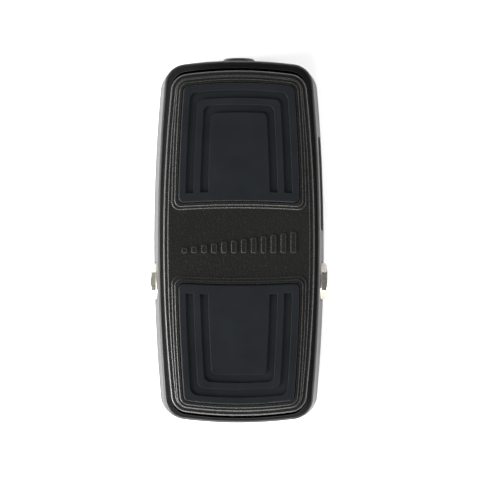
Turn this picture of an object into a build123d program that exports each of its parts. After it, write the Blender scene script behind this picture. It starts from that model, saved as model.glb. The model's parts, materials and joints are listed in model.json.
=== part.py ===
"""Compact rocker volume pedal, in millimetres.

+X is the right-hand side, +Y the toe end, +Z up. The origin is on the ground, under the
middle of the whole pedal's box.
"""

from build123d import *
import math
import os

os.makedirs("parts", exist_ok=True)

# ---------------------------------------------------------------- driving dimensions
# Base casting: outer outline at the ground edge and at the rim
FOOT_HEIGHT = 2.5
RIM_Z = 34.5
BASE_HALF_WIDTH = 30.55
BASE_TOE_Y = 64.25
BASE_HEEL_Y = -65.1
RIM_HALF_WIDTH = 28.15
RIM_TOE_Y = 62.9
RIM_HEEL_Y = -62.9
BASE_SIDE_RADIUS = 690.0
BASE_END_RADIUS = 150.0
BASE_CORNER = 9.0
RIM_CORNER = 7.6
WALL = 2.1
WALL_TIE_X = 27.9
WEB_LENGTH = 8.0
WEB_WIDTH = 2.4

# Opening that the treadle rocks in
OPENING_HALF_WIDTH = 26.5
OPENING_TOE_Y = 60.4
OPENING_HEEL_Y = -61.3
TREADLE_SIDE_RADIUS = 550.0
TREADLE_END_RADIUS = 132.0
OPENING_CORNER = 6.3

# Treadle: ledge, plateau and two steps up to the lip round each pad
TREADLE_HALF_WIDTH = 26.0
TREADLE_TOE_Y = 58.8
TREADLE_HEEL_Y = -59.8
TREADLE_CORNER = 6.0
SKIRT_WALL = 1.7
SKIRT_END_Z = RIM_Z - 10.0
SKIRT_MIDDLE_Z = RIM_Z - 2.5
LEDGE_Z = RIM_Z + 9.8
PLATEAU_Z = LEDGE_Z + 0.6
SURROUND_Z = PLATEAU_Z + 0.5
LIP_Z = SURROUND_Z + 0.6
POCKET_Z = PLATEAU_Z - 0.2
CEILING_Z = LEDGE_Z - 2.4
LEDGE_WIDTH = 1.5
RIB_DEPTH = 4.0
RIB_WIDTH = 1.4
CROSS_RIB_YS = (-42.0, -24.0, 24.0, 42.0)
CROSS_RIB_LENGTH = 46.0
LONG_RIB_XS = (-9.5, 9.5)
LONG_RIB_LENGTH = 110.0

# Foot pads, symmetrical about X = 0
PAD_TOP_Z = LIP_Z + 0.9
PAD_HALF_WIDTH = 20.9
PAD_SIDE_RADIUS = 750.0
PAD_END_RADIUS = 132.0
TOE_PAD_NEAR, TOE_PAD_FAR = 13.9, 54.5
HEEL_PAD_NEAR, HEEL_PAD_FAR = 14.85, 55.8
SURROUND_GROWTH = 2.3
LIP_GROWTH = 1.3
POCKET_GROWTH = 0.35
PAD_CORNER = 1.8
POCKET_CORNER = PAD_CORNER + 0.3
LIP_CORNERS = (2.2, 3.0)
SURROUND_CORNERS = (2.6, 4.0)
GROOVE_DEPTH = 0.85
GROOVE_END_GAP = 3.2
# Each groove: growth and far corner radius of its outer wall, then of its inner wall
GROOVES = ((-2.4, 2.8, -5.2, 2.2), (-7.4, 2.4, -10.2, 1.6))

# Pivot
PIVOT_Z = RIM_Z - 3.0
SHAFT_R = 2.5
BUSHING_R = 4.0
RUNNING_GAP = 0.05
PILLAR_IN = 17.5
PILLAR_OUT = 23.3
PILLAR_HALF_Y = 6.0
LUG_IN = 12.0
LUG_OUT = 16.0
LUG_HALF_Y = 5.5

# Gear pair between the treadle and the potentiometer
MODULE = 0.5
PINION_TEETH = 18
SECTOR_TEETH = 108
PRESSURE_ANGLE = math.radians(20)
BACKLASH = 0.12
PINION_DIRECTION_DEG = -25.0
CENTRE_DISTANCE = MODULE * (PINION_TEETH + SECTOR_TEETH) / 2
POT_Y = CENTRE_DISTANCE * math.cos(math.radians(PINION_DIRECTION_DEG))
POT_Z = PIVOT_Z + CENTRE_DISTANCE * math.sin(math.radians(PINION_DIRECTION_DEG))
POT_R = 8.0
POT_SHAFT_R = 3.0
BRACKET_X = -6.0
BRACKET_THICKNESS = 1.5

# Floor of the pedal
PLATE_THICKNESS = 1.5
PLATE_TOP = FOOT_HEIGHT + PLATE_THICKNESS
BOARD_THICKNESS = 1.6
BOARD_TOE_Y = -6.9
BOARD_HEEL_Y = -45.0
BOARD_HALF_WIDTH = 23.0
BOSS_X = 18.5
BOSS_Y = 50.5
BOSS_R = 3.6
BOSS_TOP = RIM_Z - 19.0
SCREW_R = 1.5
BUMPER_R = 2.8
BUMPER_TOP = BOSS_TOP + 3.2
STOP_POST_Z = BUMPER_TOP + 8.6

# Quarter-inch jacks, one in each side
JACK_Y = -14.0
JACK_Z = 16.0
JACK_BORE_R = 3.2
JACK_THREAD_R = 4.5
JACK_SEAT_X = 28.7
JACK_INNER_X = 26.4
JACK_FACE_X = 31.6
JACK_END_X = 1.5
JACK_SPOT_FACE_R = 7.2
JACK_PAD_WIDTH = 15.5
JACK_PAD_HEIGHT = 15.0
JACK_NUT_FLATS = 11.0
JACK_BODY_WIDTH = 15.0
JACK_BODY_HEIGHT = 12.0
BOARD_TOP = JACK_Z - JACK_BODY_HEIGHT / 2
BOARD_Z = BOARD_TOP - BOARD_THICKNESS
JACK_WASHER_THICKNESS = 0.5
JACK_NUT_THICKNESS = 2.0
JACK_FLANGE_R = 5.2
JACK_FLANGE_X = 24.4
JACK_CHAMBER_R = 3.4
JACK_WASHER_R = 6.6
SPRING_SPANS = ((4.0, 11.0), (15.0, 22.0))
SPRING_WIDTH = 2.4
SPRING_THICKNESS = 0.4
SPRING_LOW_Z = JACK_Z + 3.5
SPRING_HIGH_Z = JACK_Z + 5.9

# DC power socket in the toe wall
DC_Z = 13.0
DC_SEAT_Y = 63.8
DC_FACE_Y = 65.1
DC_INNER_Y = 60.9
DC_BARREL_R = 4.0
DC_FLANGE_R = 5.6
DC_HOLE_R = 3.15
DC_PIN_R = 1.0
DC_PAD_LOW_Z = 4.0
DC_PAD_HIGH_Z = 20.5
DC_INNER_PAD_WIDTH = 17.0
DC_INNER_PAD_HEIGHT = 14.0


# ---------------------------------------------------------------- shared shapes
def sagitta(radius, half_chord):
    """Height of an arc of the given radius over a chord of twice half_chord."""
    return radius - math.sqrt(radius**2 - half_chord**2)


def bowed_rectangle(half_width, toe_y, heel_y, side_radius, end_radius, corner):
    """Rounded rectangle whose four sides are shallow arcs."""
    middle_y = (toe_y + heel_y) / 2
    corner_x = half_width - sagitta(side_radius, (toe_y - heel_y) / 2)
    end_drop = sagitta(end_radius, corner_x)
    with BuildSketch() as shape:
        with BuildLine():
            ThreePointArc(
                (corner_x, heel_y + end_drop), (half_width, middle_y), (corner_x, toe_y - end_drop)
            )
            ThreePointArc((corner_x, toe_y - end_drop), (0, toe_y), (-corner_x, toe_y - end_drop))
            ThreePointArc(
                (-corner_x, toe_y - end_drop), (-half_width, middle_y), (-corner_x, heel_y + end_drop)
            )
            ThreePointArc((-corner_x, heel_y + end_drop), (0, heel_y), (corner_x, heel_y + end_drop))
        make_face()
        fillet(shape.vertices(), corner)
    return shape.sketch


def pad_field(side, near, far, grow, near_corner, far_corner):
    """Outline of a foot pad, grown or shrunk all round; side is 1 at the toe and -1 at the heel."""
    near_y = near - grow
    far_y = far + grow

    def half_width(y):
        return PAD_HALF_WIDTH + grow - sagitta(PAD_SIDE_RADIUS, y)

    near_x = half_width(near_y)
    far_x = half_width(far_y)
    middle_y = (near_y + far_y) / 2
    middle_x = half_width(middle_y)
    near_drop = sagitta(PAD_END_RADIUS * 2.5, near_x)
    far_drop = sagitta(PAD_END_RADIUS, far_x)
    near_corner_y = side * (near_y - near_drop)
    far_corner_y = side * (far_y - far_drop)
    with BuildSketch() as shape:
        with BuildLine():
            ThreePointArc((-near_x, near_corner_y), (0, side * near_y), (near_x, near_corner_y))
            ThreePointArc((near_x, near_corner_y), (middle_x, side * middle_y), (far_x, far_corner_y))
            ThreePointArc((far_x, far_corner_y), (0, side * far_y), (-far_x, far_corner_y))
            ThreePointArc((-far_x, far_corner_y), (-middle_x, side * middle_y), (-near_x, near_corner_y))
        make_face()
        fillet(shape.vertices().sort_by(Axis.Y, reverse=side < 0)[-2:], far_corner)
        if near_corner:
            fillet(shape.vertices().sort_by(Axis.Y, reverse=side < 0)[:2], near_corner)
    return shape.sketch


def sleeve(plane, outer_r, inner_r, start, end):
    """Round ring along the plane's normal between two heights above it."""
    with BuildPart() as ring:
        with BuildSketch(plane.offset(start)):
            Circle(outer_r)
            if inner_r:
                Circle(inner_r, mode=Mode.SUBTRACT)
        extrude(amount=end - start)
    return ring


def hex_nut(plane, across_flats, inner_r, start, end):
    """Hexagon nut along the plane's normal, with its outer corners turned off."""
    corner_r = across_flats / math.sqrt(3)
    turned = 0.35
    with BuildPart() as nut:
        with BuildSketch(plane.offset(start)):
            RegularPolygon(corner_r, 6)
            Circle(inner_r, mode=Mode.SUBTRACT)
        extrude(amount=end - start)
        with BuildSketch(plane.offset(end)):
            Circle(corner_r + 1)
            Circle(corner_r - turned, mode=Mode.SUBTRACT)
        extrude(amount=-turned, taper=-45, mode=Mode.SUBTRACT)
    return nut


def pan_screws(plane, points, head_r, head_height, shank_r, length):
    """Group of pan-head screws: heads above the plane, shanks below it, cross recess on top."""
    with BuildPart() as screws:
        with BuildSketch(plane):
            with Locations(*points):
                Circle(head_r)
        extrude(amount=head_height)
        with BuildSketch(plane):
            with Locations(*points):
                Circle(shank_r)
        extrude(amount=-length)
        with BuildSketch(plane.offset(head_height)):
            with Locations(*points):
                Rectangle(head_r * 1.2, head_r * 0.28)
                Rectangle(head_r * 0.28, head_r * 1.2)
        extrude(amount=-head_height * 0.5, mode=Mode.SUBTRACT)
    return screws


def tooth_angle(radius, teeth):
    """Half the angle that an involute tooth takes up at this radius."""
    pitch_r = MODULE * teeth / 2
    base_r = pitch_r * math.cos(PRESSURE_ANGLE)
    slope = math.acos(min(1.0, base_r / radius))
    involute = math.tan(slope) - slope
    pitch_involute = math.tan(PRESSURE_ANGLE) - PRESSURE_ANGLE
    return (math.pi * MODULE / 2 - BACKLASH / 2) / (2 * pitch_r) + pitch_involute - involute


def tooth_points(teeth, centre_angle, steps=4):
    """Corner points of one gear tooth about the origin, from root to tip and back."""
    pitch_r = MODULE * teeth / 2
    root_r = pitch_r - 1.35 * MODULE
    tip_r = pitch_r + 0.95 * MODULE
    radii = [root_r + (tip_r - root_r) * step / steps for step in range(steps + 1)]
    rising = [(r, centre_angle - tooth_angle(r, teeth)) for r in radii]
    falling = [(r, centre_angle + tooth_angle(r, teeth)) for r in reversed(radii)]
    return [(r * math.cos(a), r * math.sin(a)) for r, a in rising + falling]


# ---------------------------------------------------------------- side inlay and base shell
def base_outlines(growth):
    """Outer outlines of the base at its foot and at its rim, with the sides moved out by growth."""
    foot = bowed_rectangle(
        BASE_HALF_WIDTH + growth, BASE_TOE_Y, BASE_HEEL_Y, BASE_SIDE_RADIUS, BASE_END_RADIUS, BASE_CORNER
    )
    rim = bowed_rectangle(
        RIM_HALF_WIDTH + growth, RIM_TOE_Y, RIM_HEEL_Y, BASE_SIDE_RADIUS, BASE_END_RADIUS, RIM_CORNER
    )
    return foot, rim


INLAY_PROUD = 0.15
INLAY_SUNK = 0.5
base_foot, base_rim = base_outlines(0)
inlay_outer_foot, inlay_outer_rim = base_outlines(INLAY_PROUD)
inlay_inner_foot, inlay_inner_rim = base_outlines(-INLAY_SUNK)
INLAY_MIDDLE_Y = 20.5
INLAY_MIDDLE_Z = 18.0
INLAY_LENGTH = 33.0
INLAY_HEIGHT = 13.0
INLAY_CORNER = 3.0
INLAY_SIDE_X = 20.0

with BuildPart() as side_inlay:
    with BuildSketch(Plane.XY.offset(FOOT_HEIGHT)):
        add(inlay_outer_foot)
    with BuildSketch(Plane.XY.offset(RIM_Z)):
        add(inlay_outer_rim)
    loft()
    with BuildSketch(Plane.XY.offset(FOOT_HEIGHT)):
        add(inlay_inner_foot)
    with BuildSketch(Plane.XY.offset(RIM_Z)):
        add(inlay_inner_rim)
    loft(mode=Mode.SUBTRACT)
    with BuildSketch(Plane.YZ.offset(INLAY_SIDE_X)):
        with Locations((INLAY_MIDDLE_Y, INLAY_MIDDLE_Z)):
            RectangleRounded(INLAY_LENGTH, INLAY_HEIGHT, INLAY_CORNER)
    extrude(amount=BASE_HALF_WIDTH, mode=Mode.INTERSECT)
side_inlay.part.label = "side_inlay"
export_step(side_inlay.part, "parts/side_inlay.step")

opening_rim = bowed_rectangle(
    OPENING_HALF_WIDTH,
    OPENING_TOE_Y,
    OPENING_HEEL_Y,
    TREADLE_SIDE_RADIUS,
    TREADLE_END_RADIUS,
    OPENING_CORNER,
)
opening_foot = bowed_rectangle(
    BASE_HALF_WIDTH - WALL,
    BASE_TOE_Y - WALL,
    BASE_HEEL_Y + WALL,
    TREADLE_SIDE_RADIUS,
    TREADLE_END_RADIUS,
    OPENING_CORNER,
)
PLATE_INSET = 1.0
plate_outline = bowed_rectangle(
    BASE_HALF_WIDTH - PLATE_INSET,
    BASE_TOE_Y - PLATE_INSET,
    BASE_HEEL_Y + PLATE_INSET,
    BASE_SIDE_RADIUS,
    BASE_END_RADIUS,
    BASE_CORNER - PLATE_INSET,
)
corner_points = [(x, y) for x in (-BOSS_X, BOSS_X) for y in (-BOSS_Y, BOSS_Y)]
SCREW_DEPTH = 4.5
STEM_DEPTH = 2.0
GUSSET_Z = RIM_Z - 8.0

with BuildPart() as base_shell:
    with BuildSketch(Plane.XY.offset(FOOT_HEIGHT)):
        add(base_foot)
    with BuildSketch(Plane.XY.offset(RIM_Z)):
        add(base_rim)
    loft()
    # Flat socket pad on the sloping toe wall
    with BuildSketch(Plane.XY.offset(DC_PAD_LOW_Z)):
        with Locations((0, DC_SEAT_Y - 2)):
            Rectangle(2 * (DC_FLANGE_R + 0.2), 4)
    extrude(amount=DC_PAD_HIGH_Z - DC_PAD_LOW_Z)
    fillet(base_shell.faces().sort_by(Axis.Z)[-1].edges(), 0.9)
    with BuildSketch(Plane.XY.offset(FOOT_HEIGHT)):
        add(opening_foot)
    with BuildSketch(Plane.XY.offset(RIM_Z)):
        add(opening_rim)
    loft(mode=Mode.SUBTRACT)
    # Rebate for the bottom plate
    with BuildSketch(Plane.XY.offset(FOOT_HEIGHT)):
        add(plate_outline)
    extrude(amount=PLATE_THICKNESS, mode=Mode.SUBTRACT)
    # Inner face of the socket pad
    with BuildSketch(Plane.XZ.offset(-DC_INNER_Y)):
        with Locations((0, DC_Z)):
            Rectangle(DC_INNER_PAD_WIDTH, DC_INNER_PAD_HEIGHT)
    extrude(amount=-WALL)
    # Pivot pillars, tied to the side walls below the treadle's skirt
    for side in (-1, 1):
        with BuildSketch(Plane.YZ.offset(side * PILLAR_IN)):
            with Locations((0, (PLATE_TOP + PIVOT_Z) / 2)):
                Rectangle(2 * PILLAR_HALF_Y, PIVOT_Z - PLATE_TOP)
            with Locations((0, PIVOT_Z)):
                Circle(PILLAR_HALF_Y)
        extrude(amount=side * (PILLAR_OUT - PILLAR_IN))
        with BuildSketch(Plane.YZ.offset(side * PILLAR_IN)):
            with Locations((0, (PLATE_TOP + GUSSET_Z) / 2)):
                Rectangle(2 * PILLAR_HALF_Y, GUSSET_Z - PLATE_TOP)
        extrude(amount=side * (WALL_TIE_X - PILLAR_IN))
        # Flat pad inside the wall behind each jack
        with BuildSketch(Plane.YZ.offset(side * JACK_INNER_X)):
            with Locations((JACK_Y, JACK_Z)):
                Rectangle(JACK_PAD_WIDTH, JACK_PAD_HEIGHT)
        extrude(amount=side * WALL)
    # Screw bosses with webs to the side walls
    with BuildSketch(Plane.XY.offset(PLATE_TOP)):
        with Locations(*corner_points):
            Circle(BOSS_R)
        for x, y in corner_points:
            with Locations((math.copysign(BOSS_X + WEB_LENGTH / 2, x), y)):
                Rectangle(WEB_LENGTH, WEB_WIDTH)
    extrude(amount=BOSS_TOP - PLATE_TOP)
    with BuildSketch(Plane.XY.offset(PLATE_TOP)):
        with Locations(*corner_points):
            Circle(SCREW_R)
    extrude(amount=SCREW_DEPTH, mode=Mode.SUBTRACT)
    with BuildSketch(Plane.XY.offset(BOSS_TOP)):
        with Locations(*corner_points):
            Circle(SCREW_R)
    extrude(amount=-STEM_DEPTH, mode=Mode.SUBTRACT)
    # Bores for the pivot bushings, the jacks and the power socket
    with BuildSketch(Plane.YZ.offset(-PILLAR_OUT)):
        with Locations((0, PIVOT_Z)):
            Circle(BUSHING_R)
    extrude(amount=2 * PILLAR_OUT, mode=Mode.SUBTRACT)
    for side in (-1, 1):
        with BuildSketch(Plane.YZ.offset(side * (JACK_INNER_X - 1))):
            with Locations((JACK_Y, JACK_Z)):
                Circle(JACK_THREAD_R + 0.1)
        extrude(amount=side * 10, mode=Mode.SUBTRACT)
        with BuildSketch(Plane.YZ.offset(side * JACK_SEAT_X)):
            with Locations((JACK_Y, JACK_Z)):
                Circle(JACK_SPOT_FACE_R)
        extrude(amount=side * 5, mode=Mode.SUBTRACT)
    with BuildSketch(Plane.XZ.offset(-DC_SEAT_Y)):
        with Locations((0, DC_Z)):
            Circle(DC_FLANGE_R + 0.2)
    extrude(amount=-4, mode=Mode.SUBTRACT)
    with BuildSketch(Plane.XZ.offset(-DC_SEAT_Y)):
        with Locations((0, DC_Z)):
            Circle(DC_BARREL_R + 0.05)
    extrude(amount=6, mode=Mode.SUBTRACT)
    add(side_inlay.part, mode=Mode.SUBTRACT)
base_shell.part.label = "base_shell"
export_step(base_shell.part, "parts/base_shell.step")


# ---------------------------------------------------------------- treadle
def treadle_outline(inset):
    """Outline of the treadle, moved in all round by inset."""
    return bowed_rectangle(
        TREADLE_HALF_WIDTH - inset,
        TREADLE_TOE_Y - inset,
        TREADLE_HEEL_Y + inset,
        TREADLE_SIDE_RADIUS,
        TREADLE_END_RADIUS,
        TREADLE_CORNER - inset,
    )


pads = ((1, TOE_PAD_NEAR, TOE_PAD_FAR), (-1, HEEL_PAD_NEAR, HEEL_PAD_FAR))
surrounds = [pad_field(*pad, SURROUND_GROWTH, *SURROUND_CORNERS) for pad in pads]
lips = [pad_field(*pad, LIP_GROWTH, *LIP_CORNERS) for pad in pads]
pockets = [pad_field(*pad, POCKET_GROWTH, POCKET_CORNER, POCKET_CORNER) for pad in pads]

# Rising row of slanted bars across the centre band, a plain volume mark
MARK_BARS = 12
MARK_PITCH = 3.4
MARK_BAR_WIDTH = 1.7
MARK_LOW = 1.6
MARK_HIGH = 7.0
MARK_RELIEF = 0.65
MARK_Y = -0.3

# Ribs and lugs under the ceiling
GEAR_RIB_X = -1.5
GEAR_RIB_WIDTH = 4.5
GEAR_RIB_NEAR_Y = 6.5
GEAR_RIB_FAR_Y = 21.0
GEAR_RIB_Z = CEILING_Z - 7.0
GEAR_SCREW_YS = (10.5, 17.5)
GEAR_SCREW_Z = CEILING_Z - 3.5
NOTCH_HALF_WIDTH = 7.0
NOTCH_Z = RIM_Z - 4.5
POST_R = 2.6
GEAR_SCREW_R = 1.0
GEAR_SCREW_DEPTH = 3.5
GRUB_X = (LUG_IN + LUG_OUT) / 2

with BuildPart() as treadle:
    with BuildSketch(Plane.XY.offset(SKIRT_END_Z)):
        add(treadle_outline(0))
    extrude(amount=LEDGE_Z - SKIRT_END_Z)
    fillet(treadle.faces().sort_by(Axis.Z)[-1].edges(), 0.6)
    # The skirt is shallow beside the pivot and deep at the ends
    with BuildSketch(Plane.YZ):
        with BuildLine():
            Polyline(
                (TREADLE_HEEL_Y - 1, SKIRT_END_Z),
                (0, SKIRT_MIDDLE_Z),
                (TREADLE_TOE_Y + 1, SKIRT_END_Z),
                (TREADLE_HEEL_Y - 1, SKIRT_END_Z),
            )
        make_face()
    extrude(amount=TREADLE_HALF_WIDTH + 1, both=True, mode=Mode.SUBTRACT)
    with BuildSketch(Plane.XY.offset(SKIRT_END_Z)):
        add(treadle_outline(SKIRT_WALL))
    extrude(amount=CEILING_Z - SKIRT_END_Z, mode=Mode.SUBTRACT)
    # Notch that clears the power socket when the toe is down
    with BuildSketch(Plane.XZ.offset(-TREADLE_TOE_Y - 1)):
        with Locations((0, (SKIRT_END_Z + NOTCH_Z) / 2)):
            Rectangle(2 * NOTCH_HALF_WIDTH, NOTCH_Z - SKIRT_END_Z)
    extrude(amount=6, mode=Mode.SUBTRACT)
    # Plateau, pad surrounds and lips, each step with an eased edge
    with BuildSketch(Plane.XY.offset(LEDGE_Z)):
        add(treadle_outline(LEDGE_WIDTH))
    extrude(amount=PLATEAU_Z - LEDGE_Z)
    fillet(treadle.faces().sort_by(Axis.Z)[-1].edges(), 0.3)
    for fields, low, high in ((surrounds, PLATEAU_Z, SURROUND_Z), (lips, SURROUND_Z, LIP_Z)):
        with BuildSketch(Plane.XY.offset(low)):
            for field in fields:
                add(field)
        extrude(amount=high - low)
        fillet(treadle.faces().group_by(Axis.Z)[-1].edges(), 0.25)
    with BuildSketch(Plane.XY.offset(LIP_Z)):
        for field in pockets:
            add(field)
    extrude(amount=POCKET_Z - LIP_Z, mode=Mode.SUBTRACT)
    # Volume mark
    with BuildSketch(Plane.XY.offset(PLATEAU_Z)):
        for bar in range(MARK_BARS):
            bar_x = MARK_PITCH * (bar - (MARK_BARS - 1) / 2)
            bar_height = MARK_LOW + (MARK_HIGH - MARK_LOW) * bar / (MARK_BARS - 1)
            with Locations((bar_x, MARK_Y + (bar_height - MARK_HIGH) / 2)):
                RectangleRounded(MARK_BAR_WIDTH, bar_height, 0.4)
    extrude(amount=MARK_RELIEF)
    # Hanging lugs that hold the shaft
    for side in (-1, 1):
        with BuildSketch(Plane.YZ.offset(side * LUG_IN)):
            with Locations((0, (PIVOT_Z + CEILING_Z) / 2)):
                Rectangle(2 * LUG_HALF_Y, CEILING_Z - PIVOT_Z)
            with Locations((0, PIVOT_Z)):
                Circle(LUG_HALF_Y)
        extrude(amount=side * (LUG_OUT - LUG_IN))
    # Rib that carries the sector gear
    with BuildSketch(Plane.YZ.offset(GEAR_RIB_X)):
        with Locations(((GEAR_RIB_NEAR_Y + GEAR_RIB_FAR_Y) / 2, (GEAR_RIB_Z + CEILING_Z) / 2)):
            Rectangle(GEAR_RIB_FAR_Y - GEAR_RIB_NEAR_Y, CEILING_Z - GEAR_RIB_Z)
    extrude(amount=-GEAR_RIB_WIDTH)
    # Stop posts, cross ribs and long ribs
    with BuildSketch(Plane.XY.offset(STOP_POST_Z)):
        with Locations(*corner_points):
            Circle(POST_R)
    extrude(amount=CEILING_Z - STOP_POST_Z)
    with BuildSketch(Plane.XY.offset(CEILING_Z - RIB_DEPTH)):
        for rib_y in CROSS_RIB_YS:
            with Locations((0, rib_y)):
                Rectangle(CROSS_RIB_LENGTH, RIB_WIDTH)
        for rib_x in LONG_RIB_XS:
            with Locations((rib_x, 0)):
                Rectangle(RIB_WIDTH, LONG_RIB_LENGTH)
    extrude(amount=RIB_DEPTH)
    with BuildSketch(Plane.YZ.offset(-LUG_OUT)):
        with Locations((0, PIVOT_Z)):
            Circle(SHAFT_R)
    extrude(amount=2 * LUG_OUT, mode=Mode.SUBTRACT)
    # Grub screw holes up into the lugs
    with BuildSketch(Plane.XY.offset(PIVOT_Z - LUG_HALF_Y - 0.5)):
        with Locations((-GRUB_X, 0), (GRUB_X, 0)):
            Circle(SCREW_R)
    extrude(amount=LUG_HALF_Y, mode=Mode.SUBTRACT)
    # Holes for the sector gear's screws
    with BuildSketch(Plane.YZ.offset(GEAR_RIB_X)):
        with Locations(*[(y, GEAR_SCREW_Z) for y in GEAR_SCREW_YS]):
            Circle(GEAR_SCREW_R)
    extrude(amount=-GEAR_SCREW_DEPTH, mode=Mode.SUBTRACT)
treadle.part.label = "treadle"
export_step(treadle.part, "parts/treadle.step")

# ---------------------------------------------------------------- foot pads
for name, (side, near, far) in zip(("toe_pad", "heel_pad"), pads):
    outline = pad_field(side, near, far, 0, PAD_CORNER, PAD_CORNER)
    groove_near = near + GROOVE_END_GAP
    rings = []
    for outer, outer_corner, inner, inner_corner in GROOVES:
        outer_field = pad_field(side, groove_near + outer, far, outer, 0, outer_corner)
        inner_field = pad_field(side, groove_near + inner - 4, far, inner, 0, inner_corner)
        rings.append((outer_field, inner_field))
    with BuildPart() as pad_part:
        with BuildSketch(Plane.XY.offset(POCKET_Z)):
            add(outline)
        extrude(amount=PAD_TOP_Z - POCKET_Z)
        fillet(pad_part.faces().sort_by(Axis.Z)[-1].edges(), 0.5)
        for outer_field, inner_field in rings:
            with BuildSketch(Plane.XY.offset(PAD_TOP_Z)):
                add(outer_field)
                add(inner_field, mode=Mode.SUBTRACT)
            extrude(amount=-GROOVE_DEPTH, mode=Mode.SUBTRACT)
    pad_part.part.label = name
    export_step(pad_part.part, f"parts/{name}.step")

# ---------------------------------------------------------------- pivot
pivot_plane = Plane(origin=(0, 0, PIVOT_Z), x_dir=(0, 1, 0), z_dir=(1, 0, 0))
SHAFT_END_X = 23.0
FLANGE_X = 16.9
FLANGE_R = 5.2
WASHER_X = 16.15

with BuildPart() as pivot_shaft:
    with BuildSketch(pivot_plane.offset(-SHAFT_END_X)):
        Circle(SHAFT_R)
    extrude(amount=2 * SHAFT_END_X)
    chamfer(pivot_shaft.edges().filter_by(GeomType.CIRCLE), 0.4)
pivot_shaft.part.label = "pivot_shaft"
export_step(pivot_shaft.part, "parts/pivot_shaft.step")

for side, hand in ((-1, "left"), (1, "right")):
    side_plane = Plane(origin=(0, 0, PIVOT_Z), x_dir=(0, 1, 0), z_dir=(side, 0, 0))
    with BuildPart() as pivot_bushing:
        with BuildSketch(side_plane.offset(FLANGE_X)):
            Circle(FLANGE_R)
        extrude(amount=PILLAR_IN - FLANGE_X)
        with BuildSketch(side_plane.offset(PILLAR_IN)):
            Circle(BUSHING_R)
        extrude(amount=PILLAR_OUT - PILLAR_IN)
        with BuildSketch(side_plane.offset(FLANGE_X)):
            Circle(SHAFT_R + RUNNING_GAP)
        extrude(amount=PILLAR_OUT - FLANGE_X, mode=Mode.SUBTRACT)
    pivot_bushing.part.label = f"pivot_bushing_{hand}"
    export_step(pivot_bushing.part, f"parts/pivot_bushing_{hand}.step")

    friction_washer = sleeve(side_plane, 5.0, SHAFT_R + 0.1, WASHER_X, FLANGE_X)
    friction_washer.part.label = f"friction_washer_{hand}"
    export_step(friction_washer.part, f"parts/friction_washer_{hand}.step")

with BuildPart() as shaft_grub_screws:
    with BuildSketch(Plane.XY.offset(PIVOT_Z - LUG_HALF_Y + 0.2)):
        with Locations((-GRUB_X, 0), (GRUB_X, 0)):
            Circle(SCREW_R)
    extrude(amount=LUG_HALF_Y - SHAFT_R - 0.25)
    with BuildSketch(Plane.XY.offset(PIVOT_Z - LUG_HALF_Y + 0.2)):
        with Locations((-GRUB_X, 0), (GRUB_X, 0)):
            RegularPolygon(0.85, 6)
    extrude(amount=1.4, mode=Mode.SUBTRACT)
shaft_grub_screws.part.label = "shaft_grub_screws"
export_step(shaft_grub_screws.part, "parts/shaft_grub_screws.step")

# ---------------------------------------------------------------- gear pair
SECTOR_HALF_THICKNESS = 1.5
SECTOR_REACH = 4
SECTOR_HUB_R = 6.0
SECTOR_PLATE_MIDDLE = (13.5, 2.0)
SECTOR_PLATE_SIZE = (14.5, 15.0)
SECTOR_HOLE_MIDDLE = (17.5, -6.5)
SECTOR_HOLE_R = 3.0
sector_pitch = 2 * math.pi / SECTOR_TEETH
mesh_angle = math.radians(PINION_DIRECTION_DEG)
sector_rim = [
    point
    for tooth in range(-SECTOR_REACH, SECTOR_REACH + 1)
    for point in tooth_points(SECTOR_TEETH, mesh_angle + tooth * sector_pitch)
]
sector_screw_points = [(y, GEAR_SCREW_Z - PIVOT_Z) for y in GEAR_SCREW_YS]

with BuildPart() as sector_gear:
    with BuildSketch(pivot_plane.offset(-SECTOR_HALF_THICKNESS)):
        with BuildLine():
            Polyline((0, 0), *sector_rim, (0, 0))
        make_face()
        Circle(SECTOR_HUB_R)
        with Locations(SECTOR_PLATE_MIDDLE):
            Rectangle(*SECTOR_PLATE_SIZE)
        Circle(SHAFT_R, mode=Mode.SUBTRACT)
        with Locations(SECTOR_HOLE_MIDDLE):
            Circle(SECTOR_HOLE_R, mode=Mode.SUBTRACT)
        with Locations(*sector_screw_points):
            Circle(GEAR_SCREW_R, mode=Mode.SUBTRACT)
    extrude(amount=2 * SECTOR_HALF_THICKNESS)
sector_gear.part.label = "sector_gear"
export_step(sector_gear.part, "parts/sector_gear.step")

sector_gear_screws = pan_screws(
    pivot_plane.offset(SECTOR_HALF_THICKNESS), sector_screw_points, 2.0, 1.2, GEAR_SCREW_R, 6.4
)
sector_gear_screws.part.label = "sector_gear_screws"
export_step(sector_gear_screws.part, "parts/sector_gear_screws.step")

pot_plane = Plane(origin=(0, POT_Y, POT_Z), x_dir=(0, 1, 0), z_dir=(1, 0, 0))
PINION_HALF_WIDTH = 2.2
pinion_pitch = 2 * math.pi / PINION_TEETH
pinion_rim = [
    point
    for tooth in range(PINION_TEETH)
    for point in tooth_points(PINION_TEETH, mesh_angle + math.pi + (tooth + 0.5) * pinion_pitch)
]
with BuildPart() as pinion:
    with BuildSketch(pot_plane.offset(-PINION_HALF_WIDTH)):
        with BuildLine():
            Polyline(*pinion_rim, pinion_rim[0])
        make_face()
        Circle(POT_SHAFT_R, mode=Mode.SUBTRACT)
    extrude(amount=2 * PINION_HALF_WIDTH)
pinion.part.label = "pinion"
export_step(pinion.part, "parts/pinion.step")

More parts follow.
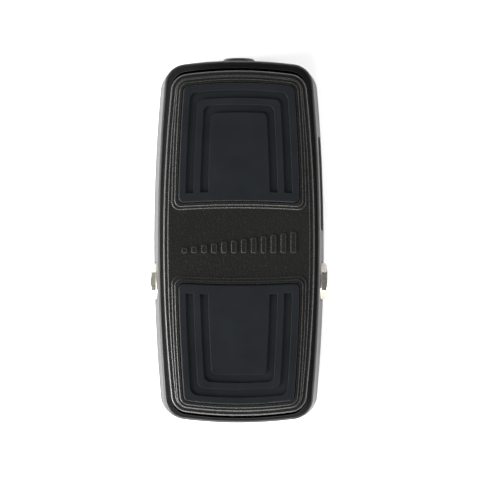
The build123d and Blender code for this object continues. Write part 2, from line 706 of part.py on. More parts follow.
# ---------------------------------------------------------------- potentiometer
POT_BACK_X = -16.5
POT_FRONT_X = BRACKET_X - BRACKET_THICKNESS
POT_BUSHING_R = 3.5
POT_BUSHING_X = -2.8
POT_WALL = 0.8
POT_NUT_FLATS = 10.0
TERMINAL_X = -9.0
TERMINAL_PITCH = 2.5
TERMINAL_OUT = 12.0
TERMINAL_IN = 7.4
TERMINAL_WIDTH = 1.3
TRACK_THICKNESS = 0.5
TRACK_OUTER_R = 7.0
TRACK_INNER_R = 4.2
WIPER_X = -10.6
WIPER_HUB_R = 4.6

with BuildPart() as pot_terminals:
    with BuildSketch(pot_plane.offset(TERMINAL_X)):
        for row in (-1, 0, 1):
            with Locations((-(TERMINAL_OUT + TERMINAL_IN) / 2, row * TERMINAL_PITCH)):
                Rectangle(TERMINAL_OUT - TERMINAL_IN, TERMINAL_WIDTH)
    extrude(amount=0.6)
pot_terminals.part.label = "pot_terminals"
export_step(pot_terminals.part, "parts/pot_terminals.step")

with BuildPart() as pot_housing:
    with BuildSketch(pot_plane.offset(POT_BACK_X)):
        Circle(POT_R)
    extrude(amount=POT_FRONT_X - POT_BACK_X)
    fillet(pot_housing.faces().sort_by(Axis.X)[0].edges(), 0.8)
    with BuildSketch(pot_plane.offset(POT_FRONT_X)):
        Circle(POT_BUSHING_R)
    extrude(amount=POT_BUSHING_X - POT_FRONT_X)
    with BuildSketch(pot_plane.offset(POT_BACK_X + POT_WALL)):
        Circle(POT_R - POT_WALL)
    extrude(amount=POT_FRONT_X - POT_BACK_X - 2 * POT_WALL, mode=Mode.SUBTRACT)
    with BuildSketch(pot_plane.offset(POT_BACK_X + POT_WALL)):
        Circle(POT_SHAFT_R + RUNNING_GAP)
    extrude(amount=POT_BUSHING_X - POT_BACK_X, mode=Mode.SUBTRACT)
    add(pot_terminals.part, mode=Mode.SUBTRACT)
pot_housing.part.label = "pot_housing"
export_step(pot_housing.part, "parts/pot_housing.step")

pot_shaft = sleeve(pot_plane, POT_SHAFT_R, 0, POT_BACK_X + 2.0, PINION_HALF_WIDTH)
pot_shaft.part.label = "pot_shaft"
export_step(pot_shaft.part, "parts/pot_shaft.step")

with BuildPart() as pot_track:
    with BuildSketch(pot_plane.offset(POT_FRONT_X - POT_WALL - TRACK_THICKNESS)):
        Circle(TRACK_OUTER_R)
        Circle(TRACK_INNER_R, mode=Mode.SUBTRACT)
        with Locations((-6, 0)):
            Rectangle(6, 8, mode=Mode.SUBTRACT)
    extrude(amount=TRACK_THICKNESS)
pot_track.part.label = "pot_track"
export_step(pot_track.part, "parts/pot_track.step")

with BuildPart() as pot_wiper:
    with BuildSketch(pot_plane.offset(WIPER_X)):
        Circle(WIPER_HUB_R)
        with Locations((3.3, 0)):
            Rectangle(6.2, 2.4)
        Circle(POT_SHAFT_R, mode=Mode.SUBTRACT)
    extrude(amount=0.9)
pot_wiper.part.label = "pot_wiper"
export_step(pot_wiper.part, "parts/pot_wiper.step")

pot_lock_washer = sleeve(pot_plane, 5.6, POT_BUSHING_R, BRACKET_X, BRACKET_X + 0.5)
pot_lock_washer.part.label = "pot_lock_washer"
export_step(pot_lock_washer.part, "parts/pot_lock_washer.step")

pot_nut = hex_nut(pot_plane, POT_NUT_FLATS, POT_BUSHING_R, BRACKET_X + 0.5, BRACKET_X + 2.3)
pot_nut.part.label = "pot_nut"
export_step(pot_nut.part, "parts/pot_nut.step")

BRACKET_HALF_Y = 9.0
BRACKET_TOP_Z = POT_Z + 9.0
BRACKET_FOOT_X = 12.0
bracket_screw_points = ((8, POT_Y - 5.8), (8, POT_Y + 5.8))
with BuildPart() as pot_bracket:
    with BuildSketch(Plane.YZ.offset(BRACKET_X - BRACKET_THICKNESS)):
        with Locations((POT_Y, (PLATE_TOP + BRACKET_TOP_Z) / 2)):
            Rectangle(2 * BRACKET_HALF_Y, BRACKET_TOP_Z - PLATE_TOP)
        with Locations((POT_Y, POT_Z)):
            Circle(POT_BUSHING_R, mode=Mode.SUBTRACT)
    extrude(amount=BRACKET_THICKNESS)
    fillet(pot_bracket.edges().filter_by(Axis.X).group_by(Axis.Z)[-1], 3.0)
    with BuildSketch(Plane.XY.offset(PLATE_TOP)):
        with Locations(((BRACKET_X + BRACKET_FOOT_X) / 2, POT_Y)):
            Rectangle(BRACKET_FOOT_X - BRACKET_X, 2 * BRACKET_HALF_Y)
        with Locations(*bracket_screw_points):
            Circle(SCREW_R, mode=Mode.SUBTRACT)
    extrude(amount=BRACKET_THICKNESS)
pot_bracket.part.label = "pot_bracket"
export_step(pot_bracket.part, "parts/pot_bracket.step")

pot_bracket_screws = pan_screws(
    Plane.XY.offset(PLATE_TOP + BRACKET_THICKNESS), bracket_screw_points, 2.7, 1.6, SCREW_R, 2.8
)
pot_bracket_screws.part.label = "pot_bracket_screws"
export_step(pot_bracket_screws.part, "parts/pot_bracket_screws.step")

# ---------------------------------------------------------------- bottom plate, feet and bumpers
HEAD_R = 2.9
HEAD_HEIGHT = 1.3
with BuildPart() as screw_blanks:
    with Locations(*[(x, y, FOOT_HEIGHT + HEAD_HEIGHT / 2) for x, y in corner_points]):
        Cone(HEAD_R, SCREW_R, HEAD_HEIGHT)
    with BuildSketch(Plane.XY.offset(FOOT_HEIGHT + HEAD_HEIGHT)):
        with Locations(*corner_points):
            Circle(SCREW_R)
    extrude(amount=4.4)
with BuildPart() as bottom_plate:
    with BuildSketch(Plane.XY.offset(FOOT_HEIGHT)):
        add(plate_outline)
        with Locations(*bracket_screw_points):
            Circle(SCREW_R, mode=Mode.SUBTRACT)
    extrude(amount=PLATE_THICKNESS)
    add(screw_blanks.part, mode=Mode.SUBTRACT)
bottom_plate.part.label = "bottom_plate"
export_step(bottom_plate.part, "parts/bottom_plate.step")

with BuildPart() as bottom_plate_screws:
    add(screw_blanks.part)
    with BuildSketch(Plane.XY.offset(FOOT_HEIGHT)):
        with Locations(*corner_points):
            Rectangle(3.0, 0.7)
            Rectangle(0.7, 3.0)
    extrude(amount=0.8, mode=Mode.SUBTRACT)
bottom_plate_screws.part.label = "bottom_plate_screws"
export_step(bottom_plate_screws.part, "parts/bottom_plate_screws.step")

FOOT_R = 5.5
foot_points = [(x, y) for x in (-19, 19) for y in (-39, 39)]
with BuildPart() as rubber_feet:
    with BuildSketch():
        with Locations(*foot_points):
            Circle(FOOT_R)
    extrude(amount=FOOT_HEIGHT)
    chamfer(rubber_feet.edges().group_by(Axis.Z)[0], 0.5)
rubber_feet.part.label = "rubber_feet"
export_step(rubber_feet.part, "parts/rubber_feet.step")

for x, y in corner_points:
    end = "toe" if y > 0 else "heel"
    hand = "right" if x > 0 else "left"
    with BuildPart() as bumper:
        with BuildSketch(Plane.XY.offset(BOSS_TOP)):
            with Locations((x, y)):
                Circle(BUMPER_R)
        extrude(amount=BUMPER_TOP - BOSS_TOP)
        fillet(bumper.edges().sort_by(Axis.Z)[-1], 0.6)
        with BuildSketch(Plane.XY.offset(BOSS_TOP)):
            with Locations((x, y)):
                Circle(SCREW_R)
        extrude(amount=-STEM_DEPTH)
    bumper.part.label = f"{end}_bumper_{hand}"
    export_step(bumper.part, f"parts/{end}_bumper_{hand}.step")

# ---------------------------------------------------------------- jacks
for side, name in ((1, "input_jack"), (-1, "output_jack")):
    jack_plane = Plane(origin=(0, JACK_Y, JACK_Z), x_dir=(0, 1, 0), z_dir=(side, 0, 0))
    with BuildPart() as jack_bushing:
        with BuildSketch(jack_plane.offset(JACK_FLANGE_X)):
            Circle(JACK_FLANGE_R)
        extrude(amount=JACK_INNER_X - JACK_FLANGE_X)
        with BuildSketch(jack_plane.offset(JACK_INNER_X)):
            Circle(JACK_THREAD_R)
        extrude(amount=JACK_FACE_X - JACK_INNER_X)
        chamfer(jack_bushing.edges().sort_by(Axis.X)[-1 if side > 0 else 0], 0.4)
        with BuildSketch(jack_plane.offset(JACK_FLANGE_X)):
            Circle(JACK_BORE_R)
        extrude(amount=JACK_FACE_X - JACK_FLANGE_X, mode=Mode.SUBTRACT)
    jack_bushing.part.label = f"{name}_bushing"
    export_step(jack_bushing.part, f"parts/{name}_bushing.step")

    washer_x = JACK_SEAT_X + JACK_WASHER_THICKNESS
    jack_washer = sleeve(jack_plane, JACK_WASHER_R, JACK_THREAD_R, JACK_SEAT_X, washer_x)
    jack_washer.part.label = f"{name}_washer"
    export_step(jack_washer.part, f"parts/{name}_washer.step")

    jack_nut = hex_nut(
        jack_plane, JACK_NUT_FLATS, JACK_THREAD_R, washer_x, washer_x + JACK_NUT_THICKNESS
    )
    jack_nut.part.label = f"{name}_nut"
    export_step(jack_nut.part, f"parts/{name}_nut.step")

    with BuildPart() as jack_contacts:
        with BuildSketch(Plane.XZ.offset(SPRING_WIDTH / 2 - JACK_Y)):
            for near, far in SPRING_SPANS:
                upright_x = far - SPRING_THICKNESS
                with BuildLine():
                    Polyline(
                        (side * near, SPRING_LOW_Z),
                        (side * far, SPRING_LOW_Z),
                        (side * far, SPRING_HIGH_Z),
                        (side * upright_x, SPRING_HIGH_Z),
                        (side * upright_x, SPRING_LOW_Z + SPRING_THICKNESS),
                        (side * near, SPRING_LOW_Z + SPRING_THICKNESS),
                        (side * near, SPRING_LOW_Z),
                    )
                make_face()
        extrude(amount=-SPRING_WIDTH)
    jack_contacts.part.label = f"{name}_contacts"
    export_step(jack_contacts.part, f"parts/{name}_contacts.step")

    with BuildPart() as jack_body:
        with BuildSketch(jack_plane.offset(JACK_END_X)):
            Rectangle(JACK_BODY_WIDTH, JACK_BODY_HEIGHT)
        extrude(amount=JACK_INNER_X - JACK_END_X)
        chamfer(jack_body.edges().filter_by(Axis.X).group_by(Axis.Z)[-1], 1.0)
        with BuildSketch(jack_plane.offset(JACK_END_X)):
            Circle(JACK_CHAMBER_R)
        extrude(amount=JACK_INNER_X - JACK_END_X, mode=Mode.SUBTRACT)
        with BuildSketch(jack_plane.offset(JACK_FLANGE_X)):
            Circle(JACK_FLANGE_R)
        extrude(amount=JACK_INNER_X - JACK_FLANGE_X, mode=Mode.SUBTRACT)
        # Slots in the top for the contact springs
        with BuildSketch(Plane.XY.offset(JACK_Z)):
            for near, far in SPRING_SPANS:
                with Locations((side * (near + far) / 2, JACK_Y)):
                    Rectangle(far - near + 0.4, SPRING_WIDTH + 0.4)
        extrude(amount=JACK_BODY_HEIGHT, mode=Mode.SUBTRACT)
    jack_body.part.label = f"{name}_body"
    export_step(jack_body.part, f"parts/{name}_body.step")

# ---------------------------------------------------------------- power socket
dc_plane = Plane(origin=(0, 0, DC_Z), x_dir=(1, 0, 0), z_dir=(0, 1, 0))
DC_BACK_Y = 49.8
DC_HOLE_BACK_Y = 53.0
dc_socket_pin = sleeve(dc_plane, DC_PIN_R, 0, DC_BACK_Y + 0.8, DC_SEAT_Y)
dc_socket_pin.part.label = "dc_socket_pin"
export_step(dc_socket_pin.part, "parts/dc_socket_pin.step")

with BuildPart() as dc_socket_body:
    with BuildSketch(dc_plane.offset(DC_SEAT_Y)):
        Circle(DC_FLANGE_R)
    extrude(amount=DC_FACE_Y - DC_SEAT_Y)
    fillet(dc_socket_body.edges().sort_by(Axis.Y)[-1], 1.0)
    with BuildSketch(dc_plane.offset(DC_BACK_Y)):
        Circle(DC_BARREL_R)
    extrude(amount=DC_SEAT_Y - DC_BACK_Y)
    with BuildSketch(dc_plane.offset(DC_HOLE_BACK_Y)):
        Circle(DC_HOLE_R)
    extrude(amount=DC_FACE_Y - DC_HOLE_BACK_Y, mode=Mode.SUBTRACT)
    add(dc_socket_pin.part, mode=Mode.SUBTRACT)
dc_socket_body.part.label = "dc_socket_body"
export_step(dc_socket_body.part, "parts/dc_socket_body.step")

dc_socket_nut = hex_nut(dc_plane, 10.0, DC_BARREL_R, DC_INNER_Y - 2.0, DC_INNER_Y)
dc_socket_nut.part.label = "dc_socket_nut"
export_step(dc_socket_nut.part, "parts/dc_socket_nut.step")

TAIL_X = 2.0
TAIL_END_Y = 46.5
with BuildPart() as dc_socket_contacts:
    with BuildSketch(dc_plane.offset(TAIL_END_Y)):
        with Locations((-TAIL_X, 0), (TAIL_X, 0)):
            Rectangle(0.5, 2.2)
    extrude(amount=DC_BACK_Y - TAIL_END_Y)
dc_socket_contacts.part.label = "dc_socket_contacts"
export_step(dc_socket_contacts.part, "parts/dc_socket_contacts.step")

# ---------------------------------------------------------------- circuit board
BOARD_SCREW_R = 1.25
STANDOFF_R = 2.5
WIRE_R = 0.55
WIRE_Z = 6.0
WIRE_HOLE_Y = -23.6
board_screw_points = [(x, y) for x in (-19.5, 19.5) for y in (-42, -26.5)]
pot_wire_xs = (-11.0, -8.7, -6.4)
dc_wire_xs = (13.6, 15.6)
CHIP_Y = -29.0
CHIP_PINS = 4
CHIP_PIN_PITCH = 2.54
CHIP_FOOT_OUT = 3.9
CHIP_SHOULDER_OUT = 3.65

with BuildPart() as circuit_board:
    with BuildSketch(Plane.XY.offset(BOARD_Z)):
        with Locations((0, (BOARD_TOE_Y + BOARD_HEEL_Y) / 2)):
            RectangleRounded(2 * BOARD_HALF_WIDTH, BOARD_TOE_Y - BOARD_HEEL_Y, 1.5)
        with Locations(*board_screw_points):
            Circle(BOARD_SCREW_R, mode=Mode.SUBTRACT)
        with Locations(*[(x, WIRE_HOLE_Y) for x in pot_wire_xs + dc_wire_xs]):
            Circle(WIRE_R + 0.05, mode=Mode.SUBTRACT)
    extrude(amount=BOARD_THICKNESS)
circuit_board.part.label = "circuit_board"
export_step(circuit_board.part, "parts/circuit_board.step")

with BuildPart() as board_standoffs:
    with BuildSketch(Plane.XY.offset(PLATE_TOP)):
        with Locations(*board_screw_points):
            Circle(STANDOFF_R)
            Circle(BOARD_SCREW_R, mode=Mode.SUBTRACT)
    extrude(amount=BOARD_Z - PLATE_TOP)
board_standoffs.part.label = "board_standoffs"
export_step(board_standoffs.part, "parts/board_standoffs.step")

board_screws = pan_screws(Plane.XY.offset(BOARD_TOP), board_screw_points, 2.3, 1.4, BOARD_SCREW_R, 3.8)
board_screws.part.label = "board_screws"
export_step(board_screws.part, "parts/board_screws.step")

with BuildPart() as op_amp_chip:
    with BuildSketch(Plane.XY.offset(BOARD_TOP + 0.4)):
        with Locations((0, CHIP_Y)):
            Rectangle(9.8, 6.4)
    extrude(amount=3.2)
    chamfer(op_amp_chip.edges().group_by(Axis.Z)[-1], 0.4)
    with BuildSketch(Plane.XY.offset(BOARD_TOP)):
        with Locations((0, CHIP_Y)):
            with GridLocations(CHIP_PIN_PITCH, 2 * CHIP_FOOT_OUT, CHIP_PINS, 2):
                Rectangle(0.5, 0.4)
    extrude(amount=2.2)
    with BuildSketch(Plane.XY.offset(BOARD_TOP + 1.8)):
        with Locations((0, CHIP_Y)):
            with GridLocations(CHIP_PIN_PITCH, 2 * CHIP_SHOULDER_OUT, CHIP_PINS, 2):
                Rectangle(0.5, 0.9)
    extrude(amount=0.4)
op_amp_chip.part.label = "op_amp_chip"
export_step(op_amp_chip.part, "parts/op_amp_chip.step")

capacitors = (
    ("power_capacitor", 12.5, -36, 4.0, 9.5),
    ("input_capacitor", -12.0, -34, 3.2, 7.5),
    ("output_capacitor", 1.0, -39.5, 3.2, 7.5),
)
for name, x, y, can_r, height in capacitors:
    with BuildPart() as capacitor:
        with BuildSketch(Plane.XY.offset(BOARD_TOP)):
            with Locations((x, y)):
                Circle(can_r)
        extrude(amount=height)
        fillet(capacitor.edges().sort_by(Axis.Z)[-1], 0.6)
        with BuildSketch(Plane.XY.offset(BOARD_TOP + height)):
            with Locations((x, y)):
                Rectangle(can_r * 1.3, 0.3)
                Rectangle(0.3, can_r * 1.3)
        extrude(amount=-0.2, mode=Mode.SUBTRACT)
    capacitor.part.label = name
    export_step(capacitor.part, f"parts/{name}.step")

with BuildPart() as board_resistors:
    with BuildSketch(Plane.XY.offset(BOARD_TOP)):
        with Locations((-13.0, -26.5), (10.5, -26.5)):
            with GridLocations(2.6, 1, 3, 1):
                Rectangle(1.3, 2.6)
    extrude(amount=0.6)
board_resistors.part.label = "board_resistors"
export_step(board_resistors.part, "parts/board_resistors.step")


# ---------------------------------------------------------------- wires
def wire(points):
    """Round insulated wire along straight runs joined by arcs, laid clear of its neighbours."""
    with BuildPart() as strand:
        with BuildLine() as route:
            FilletPolyline(*points, radius=0.9)
        with BuildSketch(Plane(origin=route.line @ 0, z_dir=route.line % 0)):
            Circle(WIRE_R)
        sweep()
    return strand.part


pot_wire_starts = [
    (TERMINAL_X + 0.3, POT_Y - TERMINAL_OUT, POT_Z + row * TERMINAL_PITCH) for row in (-1, 0, 1)
]
with BuildPart() as pot_wires:
    for (start_x, start_y, start_z), end_x in zip(pot_wire_starts, (pot_wire_xs[1], *pot_wire_xs[::2])):
        turn_y = start_y - 2 - (start_z - POT_Z + TERMINAL_PITCH)
        add(
            wire(
                [
                    (start_x, start_y, start_z),
                    (start_x, turn_y, start_z),
                    (end_x, turn_y - 3, WIRE_Z),
                    (end_x, WIRE_HOLE_Y, WIRE_Z),
                    (end_x, WIRE_HOLE_Y, BOARD_TOP + 0.3),
                ]
            )
        )
pot_wires.part.label = "pot_wires"
export_step(pot_wires.part, "parts/pot_wires.step")

with BuildPart() as power_wires:
    for start_x, end_x, turn_y in ((-TAIL_X, dc_wire_xs[0], 42.0), (TAIL_X, dc_wire_xs[1], 44.5)):
        add(
            wire(
                [
                    (start_x, TAIL_END_Y, DC_Z),
                    (start_x, turn_y, DC_Z),
                    (end_x, turn_y - 1.5, WIRE_Z),
                    (end_x, WIRE_HOLE_Y, WIRE_Z),
                    (end_x, WIRE_HOLE_Y, BOARD_TOP + 0.3),
                ]
            )
        )
power_wires.part.label = "power_wires"
export_step(power_wires.part, "parts/power_wires.step")
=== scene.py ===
"""Compact rocker volume pedal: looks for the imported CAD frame, in metres.

+X is the right-hand side, +Y the toe end, +Z up.
"""

import json
import math

import bmesh
import bpy
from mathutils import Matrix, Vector


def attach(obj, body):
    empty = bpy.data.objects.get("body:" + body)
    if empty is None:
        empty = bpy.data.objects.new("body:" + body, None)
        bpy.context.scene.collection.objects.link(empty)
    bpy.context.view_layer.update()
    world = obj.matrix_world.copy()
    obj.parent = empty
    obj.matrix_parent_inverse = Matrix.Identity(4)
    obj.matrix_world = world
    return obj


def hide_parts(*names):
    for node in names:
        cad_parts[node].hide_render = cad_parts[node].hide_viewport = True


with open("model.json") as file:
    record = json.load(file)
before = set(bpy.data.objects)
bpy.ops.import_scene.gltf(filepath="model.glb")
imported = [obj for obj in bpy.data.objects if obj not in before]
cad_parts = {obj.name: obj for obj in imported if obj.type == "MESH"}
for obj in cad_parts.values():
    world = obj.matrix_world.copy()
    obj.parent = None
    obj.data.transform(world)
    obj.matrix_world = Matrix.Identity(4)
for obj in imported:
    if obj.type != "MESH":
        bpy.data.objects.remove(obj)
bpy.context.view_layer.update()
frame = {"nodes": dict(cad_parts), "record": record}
nodes = frame["nodes"]

# Edges turned by more than this stay crisp; points closer than the weld distance become one
SHARP_ANGLE = math.radians(28)
WELD_DISTANCE = 0.000002


# ---------------------------------------------------------------- material helpers
class Recipe:
    """A Principled material being wired up: small helpers over its node tree."""

    EDGE_RAYS = 8
    SOFTENING_RAYS = 6
    # How far a softened normal agrees with the true one: flat from, fully an edge from
    EDGE_AGREEMENT = (0.99, 0.9)
    # How far a round faces up: where it leaves the top and where it leaves the side
    TOP_TURN = (0.985, 0.94)
    SIDE_TURN = (0.1, 0.25)
    # Noise breaking up the edge mask, which the materials use for real wear and painted highlight
    # alike
    WEAR_SCALE = 300
    WEAR_LEAST = 0.75

    def __init__(self, name):
        self.material = bpy.data.materials.new(name)
        self.material.use_nodes = True
        self.tree = self.material.node_tree
        self.shader = self.tree.nodes["Principled BSDF"]
        self.place = self.tree.nodes.new("ShaderNodeTexCoord").outputs["Object"]

    def node(self, kind, **settings):
        """New node; each setting is an input socket's value or a property of the node."""
        made = self.tree.nodes.new(kind)
        for key, value in settings.items():
            if key in made.inputs:
                made.inputs[key].default_value = value
            else:
                setattr(made, key, value)
        return made

    def link(self, out, into):
        self.tree.links.new(out, into)

    def noise(self, scale, detail=2.0, roughness=0.5, stretch=None):
        """Noise in object space, its scale in cells per metre; stretch squeezes it along an axis."""
        made = self.node("ShaderNodeTexNoise", Scale=scale, Detail=detail, Roughness=roughness)
        if stretch:
            mapping = self.node("ShaderNodeMapping", Scale=stretch)
            self.link(self.place, mapping.inputs["Vector"])
            self.link(mapping.outputs["Vector"], made.inputs["Vector"])
        else:
            self.link(self.place, made.inputs["Vector"])
        return made.outputs["Fac"]

    def span(self, source, low, high, out_low, out_high):
        """Maps low..high of a value to out_low..out_high, clamped."""
        limits = {"From Min": low, "From Max": high, "To Min": out_low, "To Max": out_high}
        made = self.node("ShaderNodeMapRange", **limits)
        self.link(source, made.inputs["Value"])
        return made.outputs["Result"]

    def ramp(self, source, *stops):
        """Colour ramp from (position, (r, g, b)) stops."""
        made = self.node("ShaderNodeValToRGB")
        elements = made.color_ramp.elements
        while len(elements) < len(stops):
            elements.new(0.5)
        for element, (position, colour) in zip(elements, stops):
            element.position = position
            element.color = (*colour, 1.0)
        self.link(source, made.inputs["Fac"])
        return made.outputs["Color"]

    def blend(self, factor, first, second):
        """Mixes two colours, each a socket or an (r, g, b)."""
        made = self.node("ShaderNodeMix", data_type="RGBA")
        self.link(factor, made.inputs["Factor"])
        # Sockets 6 and 7 are A and B for colours, and output 2 is the colour result
        for source, socket in ((first, made.inputs[6]), (second, made.inputs[7])):
            if isinstance(source, tuple):
                socket.default_value = (*source, 1.0)
            else:
                self.link(source, socket)
        return made.outputs[2]

    def math(self, operation, first, second):
        """Math on two values, each a socket or a number."""
        made = self.node("ShaderNodeMath", operation=operation)
        for source, socket in ((first, made.inputs[0]), (second, made.inputs[1])):
            if isinstance(source, (int, float)):
                socket.default_value = source
            else:
                self.link(source, socket)
        return made.outputs[0]

    def edges(self, reach=0.0005, rounds=True):
        """1 along sharp edges, and rounds if asked for, 0 on flats; reach is the band's width."""
        rounded = self.node("ShaderNodeBevel", Radius=reach)
        rounded.samples = self.EDGE_RAYS
        facing = self.node("ShaderNodeVectorMath", operation="DOT_PRODUCT")
        self.link(rounded.outputs["Normal"], facing.inputs[0])
        self.link(self.node("ShaderNodeNewGeometry").outputs["Normal"], facing.inputs[1])
        sharp = self.span(facing.outputs["Value"], *self.EDGE_AGREEMENT, 0.0, 1.0)
        broken_up = self.span(self.noise(self.WEAR_SCALE, 3.0), 0.35, 0.6, self.WEAR_LEAST, 1.0)
        if not rounds:
            return self.math("MULTIPLY", sharp, broken_up)
        turned = self.node("ShaderNodeSeparateXYZ")
        self.link(self.node("ShaderNodeTexCoord").outputs["Normal"], turned.inputs["Vector"])
        below_top = self.span(turned.outputs["Z"], *self.TOP_TURN, 0.0, 1.0)
        above_side = self.span(turned.outputs["Z"], *self.SIDE_TURN, 0.0, 1.0)
        eased = self.math("MULTIPLY", below_top, above_side)
        return self.math("MULTIPLY", self.math("MAXIMUM", sharp, eased), broken_up)

    def colour(self, source):
        self.link(source, self.shader.inputs["Base Color"])

    def rough(self, source):
        self.link(source, self.shader.inputs["Roughness"])

    def bump(self, height, strength, distance, softened=0.00012):
        """Surface grain of that depth in metres, over edges softened by that radius."""
        made = self.node("ShaderNodeBump", Strength=strength, Distance=distance)
        self.link(height, made.inputs["Height"])
        rounded = self.node("ShaderNodeBevel", Radius=softened)
        rounded.samples = self.SOFTENING_RAYS
        self.link(rounded.outputs["Normal"], made.inputs["Normal"])
        self.link(made.outputs["Normal"], self.shader.inputs["Normal"])

    def set(self, **values):
        """Sets the shader's own inputs, an underscore standing for a space."""
        for name, value in values.items():
            self.shader.inputs[name.replace("_", " ")].default_value = value


def scaled(colour, factor, highest=1.0):
    """Colour made brighter by a factor, each channel held to the highest value."""
    return tuple(min(highest, factor * channel) for channel in colour)


def textured_paint(
    name, dark, light, rough, grain, depth, wear_and_highlight, specular=0.5, edge_rough=0.85
):
    """Powder coat: pebbled grain, faint cloudy colour, and lighter edges and rounds that are partly
    real wear and partly painted highlight.

    grain is in pebbles per metre, depth in metres; edge_rough multiplies the roughness at edges.
    """
    cloud_scale, fine_ratio, fine_share = 60, 3.1, 0.35
    spot_gain, spot_share = 1.35, 0.7
    grain_left_on_edges = 0.04
    made = Recipe(name)
    cloud = made.noise(cloud_scale, 3.0)
    pebble = made.noise(grain, 2.0, 0.55)
    fine = made.noise(grain * fine_ratio, 1.0)
    base = made.ramp(cloud, (0.3, dark), (0.7, light))
    spot_mask = made.span(pebble, 0.35, 0.7, 0.0, spot_share)
    spots = made.blend(spot_mask, base, scaled(light, spot_gain))
    edges = made.edges()
    # Edges and rounds take the lighter colour: partly real wear, partly painted highlight.
    made.colour(made.blend(edges, spots, wear_and_highlight))
    rough_low, rough_high = rough
    flat_rough = made.span(pebble, 0.3, 0.7, rough_high, rough_low)
    made.rough(made.math("MULTIPLY", flat_rough, made.span(edges, 0.0, 1.0, 1.0, edge_rough)))
    grain_height = made.math("ADD", pebble, made.math("MULTIPLY", fine, fine_share))
    smoothing = made.span(edges, 0.0, 0.3, 1.0, grain_left_on_edges)
    made.bump(made.math("MULTIPLY", grain_height, smoothing), 0.9, depth)
    made.set(Specular_IOR_Level=specular)
    return made.material


def moulded(name, dark, light, rough, grain=2600, depth=0.00002, specular=0.35):
    """Moulded rubber or plastic with a fine matt grain, faint handling marks, and lighter edges that
    are partly rubbed wear and partly painted highlight.
    """
    cloud_scale, handling_scale = 45, 160
    edge_gain, edge_share = 1.8, 0.5
    made = Recipe(name)
    cloud = made.noise(cloud_scale, 4.0, 0.6)
    fine = made.noise(grain, 2.0)
    rubbed_and_highlit = made.math("MULTIPLY", made.edges(0.0002, rounds=False), edge_share)
    base = made.ramp(cloud, (0.3, dark), (0.75, light))
    # Lighter colour along edges: partly rubbed wear, partly painted highlight.
    made.colour(made.blend(rubbed_and_highlit, base, scaled(light, edge_gain, 0.9)))
    made.rough(made.span(made.noise(handling_scale, 4.0), 0.3, 0.7, *rough))
    made.bump(fine, 0.6, depth)
    made.set(Specular_IOR_Level=specular)
    return made.material


def plated(name, colour, tarnish, rough, brushed=None):
    """Bare or plated metal: fine scratches, cloudy tarnish, a little wear, and brighter edges that
    are partly polish and partly painted highlight.
    """
    cloud_scale, scratch_scale, scratch_depth = 220, 1500, 0.000012
    edge_gain = 1.12
    made = Recipe(name)
    cloud = made.noise(cloud_scale, 4.0, 0.6)
    base = made.ramp(cloud, (0.35, tarnish), (0.65, colour))
    polish_and_highlight = made.edges(0.0002, rounds=False)
    # Brighter colour along edges: partly real polish, partly painted highlight.
    made.colour(made.blend(polish_and_highlight, base, scaled(colour, edge_gain, 0.95)))
    scratch = made.noise(scratch_scale, 3.0, 0.6, stretch=brushed)
    made.rough(made.span(scratch, 0.3, 0.7, *rough))
    made.bump(scratch, 0.25, scratch_depth)
    made.set(Metallic=1.0)
    return made.material


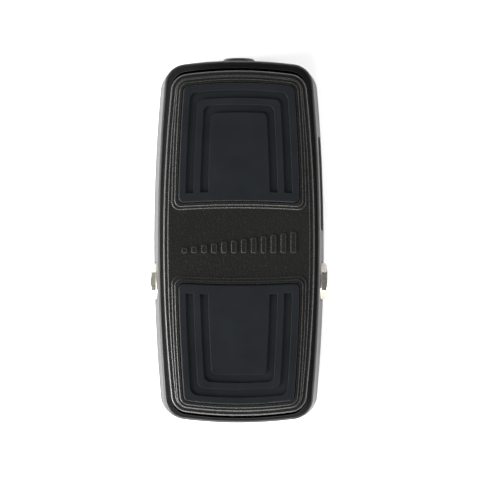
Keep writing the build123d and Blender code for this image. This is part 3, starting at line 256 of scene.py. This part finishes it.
MATERIALS = {
    "treadle_paint": textured_paint(
        "treadle_powder_coat", (0.0028, 0.0028, 0.0026), (0.0042, 0.0041, 0.0038),
        rough=(0.22, 0.33), grain=1500, depth=0.00016, wear_and_highlight=(0.021, 0.0207, 0.02), edge_rough=1.4,
    ),
    "base_paint": textured_paint(
        "base_powder_coat", (0.0028, 0.0028, 0.0028), (0.0042, 0.0042, 0.0042),
        rough=(0.36, 0.46), grain=1900, depth=0.00012, wear_and_highlight=(0.03, 0.03, 0.03), specular=0.28,
    ),
    "plate_paint": textured_paint(
        "plate_paint", (0.018, 0.018, 0.018), (0.026, 0.026, 0.026),
        rough=(0.35, 0.5), grain=1900, depth=0.00003, wear_and_highlight=(0.06, 0.06, 0.06),
    ),
    "black_screw": textured_paint(
        "black_oxide", (0.012, 0.012, 0.013), (0.02, 0.02, 0.021),
        rough=(0.3, 0.45), grain=2600, depth=0.00001, wear_and_highlight=(0.16, 0.155, 0.15),
    ),
    "pad_rubber": moulded(
        "pad_rubber", (0.0050, 0.0059, 0.0069), (0.0067, 0.0078, 0.0091), (0.38, 0.48),
        specular=0.13,
    ),
    "foot_rubber": moulded(
        "foot_rubber", (0.012, 0.012, 0.012), (0.02, 0.02, 0.02), (0.6, 0.8), grain=1500
    ),
    "black_plastic": moulded(
        "black_plastic", (0.010, 0.010, 0.010), (0.016, 0.016, 0.016), (0.3, 0.45)
    ),
    "gloss_black": moulded(
        "side_inlay_film", (0.0015, 0.0015, 0.0018), (0.003, 0.003, 0.0034), (0.75, 0.9),
        grain=1800, depth=0.00003, specular=0.03,
    ),
    "nylon": moulded("nylon", (0.60, 0.58, 0.52), (0.70, 0.68, 0.62), (0.4, 0.55)),
    "fibre": moulded("fibre", (0.20, 0.07, 0.04), (0.30, 0.11, 0.06), (0.6, 0.8), grain=1200),
    "board": moulded(
        "board", (0.008, 0.07, 0.03), (0.012, 0.10, 0.045), (0.2, 0.35),
        grain=900, depth=0.00001, specular=0.5,
    ),
    "resistor": moulded("resistor", (0.02, 0.02, 0.022), (0.035, 0.035, 0.038), (0.35, 0.5)),
    "capacitor_sleeve": moulded(
        "capacitor_sleeve", (0.01, 0.015, 0.04), (0.015, 0.02, 0.06), (0.2, 0.3)
    ),
    "carbon": moulded("carbon", (0.012, 0.012, 0.012), (0.02, 0.02, 0.02), (0.6, 0.8)),
    "wire_sleeve": moulded("wire_sleeve", (0.30, 0.02, 0.015), (0.38, 0.03, 0.02), (0.3, 0.45)),
    "nickel": plated("nickel", (0.84, 0.81, 0.74), (0.66, 0.61, 0.52), (0.24, 0.4)),
    "steel": plated(
        "steel", (0.62, 0.62, 0.61), (0.48, 0.47, 0.46), (0.25, 0.42), brushed=(1.0, 12.0, 12.0)
    ),
    "bronze": plated("bronze", (0.55, 0.36, 0.18), (0.38, 0.24, 0.12), (0.35, 0.5)),
    "contact": plated("contact", (0.82, 0.66, 0.36), (0.66, 0.52, 0.28), (0.2, 0.35)),
    "pot_case": plated("pot_case", (0.66, 0.65, 0.62), (0.52, 0.51, 0.49), (0.28, 0.45)),
}
node_slot = {part["node"]: part["material_slot"] for part in frame["record"]["subparts"]}


# ---------------------------------------------------------------- carried-over and refined pieces
def refined(node, body):
    """Copy of a CAD node that replaces it: welded, with smooth rounds between crisp edges."""
    piece = bpy.data.objects.new(f"{node}_fine", nodes[node].data.copy())
    bpy.context.scene.collection.objects.link(piece)
    shape = bmesh.new()
    shape.from_mesh(piece.data)
    bmesh.ops.remove_doubles(shape, verts=shape.verts, dist=WELD_DISTANCE)
    for face in shape.faces:
        face.smooth = True
    for edge in shape.edges:
        edge.smooth = edge.is_manifold and edge.calc_face_angle(0.0) < SHARP_ANGLE
    shape.to_mesh(piece.data)
    shape.free()
    smooth = piece.modifiers.new("smooth", "WEIGHTED_NORMAL")
    smooth.mode = "FACE_AREA"
    smooth.keep_sharp = True
    smooth.weight = 80
    piece.data.materials.clear()
    piece.data.materials.append(MATERIALS[node_slot[node]])
    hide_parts(node)
    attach(piece, body)
    return piece


REFINED = ("base_shell", "treadle", "toe_pad", "heel_pad", "dc_socket_body")
body_of_node = {
    node: body
    for body, members in frame["record"]["behaviour"]["bodies"].items()
    for node in members
}
for node, thing in nodes.items():
    if node in REFINED:
        refined(node, body_of_node[node])
    else:
        thing.data.materials.clear()
        thing.data.materials.append(MATERIALS[node_slot[node]])


# ---------------------------------------------------------------- stage, light and camera
FLOOR_HALF_WIDTH = 3.0
LIGHT_AIM = Vector((0.0, 0.0, 0.02))
WORLD_STRENGTH = 0.18
CAMERA_HEIGHT = 0.90
CAMERA_RIGHT = 0.0004
CAMERA_TOEWARD = 0.0006
FRAME_WIDTH_AT_GROUND = 0.1734


def white_floor():
    """Plain white floor under the pedal."""
    half = FLOOR_HALF_WIDTH
    corners = [(-half, -half, 0), (half, -half, 0), (half, half, 0), (-half, half, 0)]
    mesh = bpy.data.meshes.new("floor")
    mesh.from_pydata(corners, [], [(0, 1, 2, 3)])
    floor = bpy.data.objects.new("floor", mesh)
    bpy.context.scene.collection.objects.link(floor)
    made = Recipe("studio_floor")
    made.colour(made.ramp(made.noise(3.0), (0.3, (0.93, 0.93, 0.93)), (0.7, (0.95, 0.95, 0.95))))
    made.set(Roughness=0.9, Specular_IOR_Level=0.2)
    mesh.materials.append(made.material)


def softbox(name, place, size, power, seen_in_gloss=True):
    """Square area light facing the pedal; size is in metres and power in watts."""
    light = bpy.data.lights.new(name, "AREA")
    light.shape = "SQUARE"
    light.size = size
    light.energy = power
    lamp = bpy.data.objects.new(name, light)
    lamp.location = place
    lamp.rotation_euler = (LIGHT_AIM - Vector(place)).to_track_quat("-Z", "Y").to_euler()
    lamp.visible_glossy = seen_in_gloss
    bpy.context.scene.collection.objects.link(lamp)


white_floor()
softbox("key_left", (-1.15, -0.45, 0.62), 0.8, 62)
softbox("heel_fill", (-0.2, -1.25, 0.6), 0.8, 26)
softbox("right_edge", (1.25, -0.35, 0.7), 0.4, 5)
softbox("right_fill", (1.2, 0.2, 0.8), 1.0, 12, seen_in_gloss=False)
softbox("toe_fill", (0.3, 1.3, 0.7), 0.9, 22, seen_in_gloss=False)

world = bpy.data.worlds.new("studio")
world.use_nodes = True
background = world.node_tree.nodes["Background"]
background.inputs["Color"].default_value = (1.0, 1.0, 1.0, 1.0)
background.inputs["Strength"].default_value = WORLD_STRENGTH
bpy.context.scene.world = world
bpy.context.scene.view_settings.view_transform = "Standard"
bpy.context.scene.view_settings.look = "None"

camera = bpy.data.cameras.new("camera")
camera.sensor_width = 36.0
camera.lens = camera.sensor_width * CAMERA_HEIGHT / FRAME_WIDTH_AT_GROUND
camera_object = bpy.data.objects.new("camera", camera)
camera_object.location = (CAMERA_RIGHT, CAMERA_TOEWARD, CAMERA_HEIGHT)
bpy.context.scene.collection.objects.link(camera_object)
bpy.context.scene.camera = camera_object
